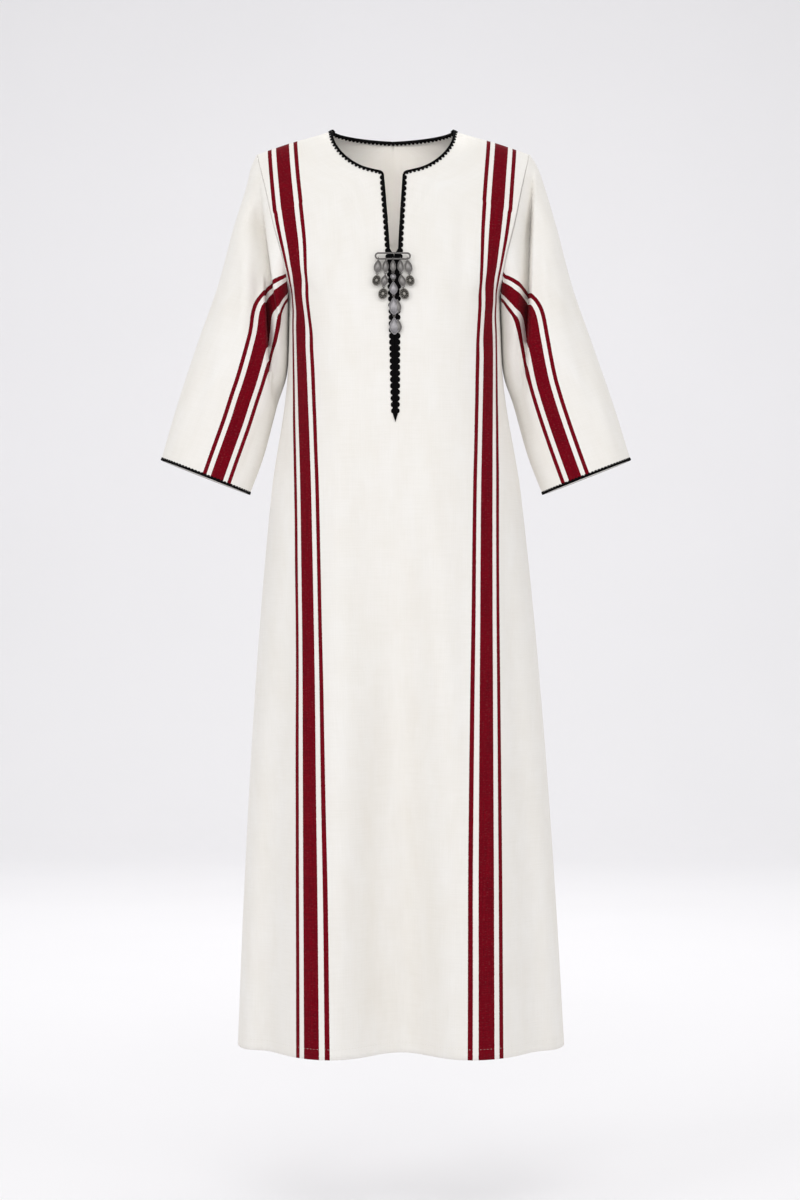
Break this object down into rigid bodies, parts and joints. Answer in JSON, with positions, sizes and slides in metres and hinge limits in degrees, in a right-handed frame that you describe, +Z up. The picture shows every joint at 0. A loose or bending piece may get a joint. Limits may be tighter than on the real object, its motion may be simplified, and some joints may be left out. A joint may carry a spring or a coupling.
{
  "type": "kaftan dress",
  "caption": "Long A-line kaftan dress with a slit neck edged in scalloped braid, three-quarter set-in sleeves, striped bands and a hanging silver brooch.",
  "frame": {"origin": "midway between the two shoulder seams, at the height of their neck ends, where the wearer's shoulders hold the dress", "axes": "+Z up, -Y out of the front, +X to the wearer's left"},
  "size_m": [0.7054, 0.2996, 1.3705],
  "materials": {
    "cloth": "off-white slubbed plain-weave cotton with woven crimson stripes",
    "braid": "black scalloped cotton braid",
    "silver": "oxidised silver, worn bright on the high parts"
  },
  "bodies": {
    "dress": {"dress_front": "cloth", "dress_back": "cloth", "sleeve_left": "cloth", "sleeve_right": "cloth", "neck_braid_front": "braid", "neck_braid_back": "braid", "cuff_braid_left": "braid", "cuff_braid_right": "braid", "brooch_bar": "silver"},
    "leaf_1_body": {"leaf_1": "silver"},
    "leaf_2_body": {"leaf_2": "silver"},
    "leaf_3_body": {"leaf_3": "silver"},
    "leaf_4_body": {"leaf_4": "silver"},
    "leaf_5_body": {"leaf_5": "silver"},
    "coin_1_body": {"coin_1": "silver"},
    "coin_2_body": {"coin_2": "silver"},
    "drop_1_body": {"drop_1": "silver"},
    "drop_2_body": {"drop_2": "silver"},
    "coin_3_body": {"coin_3": "silver"},
    "coin_4_body": {"coin_4": "silver"},
    "bead_body": {"bead": "silver"},
    "drop_3_body": {"drop_3": "silver"},
    "drop_4_body": {"drop_4": "silver"},
    "drop_5_body": {"drop_5": "silver"}
  },
  "joints": [
    {"name": "leaf_1_swing", "type": "hinge", "parent": "dress", "child": "leaf_1_body", "pos_m": [-0.021, -0.11893, -0.2062], "axis": [-1, 0, 0], "range_deg": [0, 35]},
    {"name": "leaf_2_swing", "type": "hinge", "parent": "dress", "child": "leaf_2_body", "pos_m": [-0.0102, -0.11893, -0.2062], "axis": [-1, 0, 0], "range_deg": [0, 35]},
    {"name": "leaf_3_swing", "type": "hinge", "parent": "dress", "child": "leaf_3_body", "pos_m": [0.0003, -0.11893, -0.2062], "axis": [-1, 0, 0], "range_deg": [0, 35]},
    {"name": "leaf_4_swing", "type": "hinge", "parent": "dress", "child": "leaf_4_body", "pos_m": [0.0109, -0.11893, -0.2062], "axis": [-1, 0, 0], "range_deg": [0, 35]},
    {"name": "leaf_5_swing", "type": "hinge", "parent": "dress", "child": "leaf_5_body", "pos_m": [0.021, -0.11893, -0.2062], "axis": [-1, 0, 0], "range_deg": [0, 35]},
    {"name": "coin_1_swing", "type": "hinge", "parent": "leaf_1_body", "child": "coin_1_body", "pos_m": [-0.0229, -0.1237, -0.2295], "axis": [-1, 0, 0], "range_deg": [0, 25]},
    {"name": "coin_2_swing", "type": "hinge", "parent": "leaf_5_body", "child": "coin_2_body", "pos_m": [0.0243, -0.1237, -0.2295], "axis": [-1, 0, 0], "range_deg": [0, 25]},
    {"name": "drop_1_swing", "type": "hinge", "parent": "leaf_2_body", "child": "drop_1_body", "pos_m": [-0.0109, -0.12352, -0.22855], "axis": [-1, 0, 0], "range_deg": [0, 25]},
    {"name": "drop_2_swing", "type": "hinge", "parent": "leaf_4_body", "child": "drop_2_body", "pos_m": [0.0119, -0.12352, -0.22855], "axis": [-1, 0, 0], "range_deg": [0, 25]},
    {"name": "coin_3_swing", "type": "hinge", "parent": "drop_1_body", "child": "coin_3_body", "pos_m": [-0.01335, -0.12713, -0.24895], "axis": [-1, 0, 0], "range_deg": [0, 25]},
    {"name": "coin_4_swing", "type": "hinge", "parent": "drop_2_body", "child": "coin_4_body", "pos_m": [0.0154, -0.12713, -0.24895], "axis": [-1, 0, 0], "range_deg": [0, 25]},
    {"name": "bead_swing", "type": "hinge", "parent": "leaf_3_body", "child": "bead_body", "pos_m": [0.0004, -0.12335, -0.22765], "axis": [-1, 0, 0], "range_deg": [0, 25]},
    {"name": "drop_3_swing", "type": "hinge", "parent": "bead_body", "child": "drop_3_body", "pos_m": [0.00075, -0.12549, -0.23915], "axis": [-1, 0, 0], "range_deg": [0, 25]},
    {"name": "drop_4_swing", "type": "hinge", "parent": "drop_3_body", "child": "drop_4_body", "pos_m": [0.0013, -0.1289, -0.2623], "axis": [-1, 0, 0], "range_deg": [0, 25]},
    {"name": "drop_5_swing", "type": "hinge", "parent": "drop_4_body", "child": "drop_5_body", "pos_m": [0.0021, -0.13212, -0.29205], "axis": [-1, 0, 0], "range_deg": [0, 25]}
  ]
}
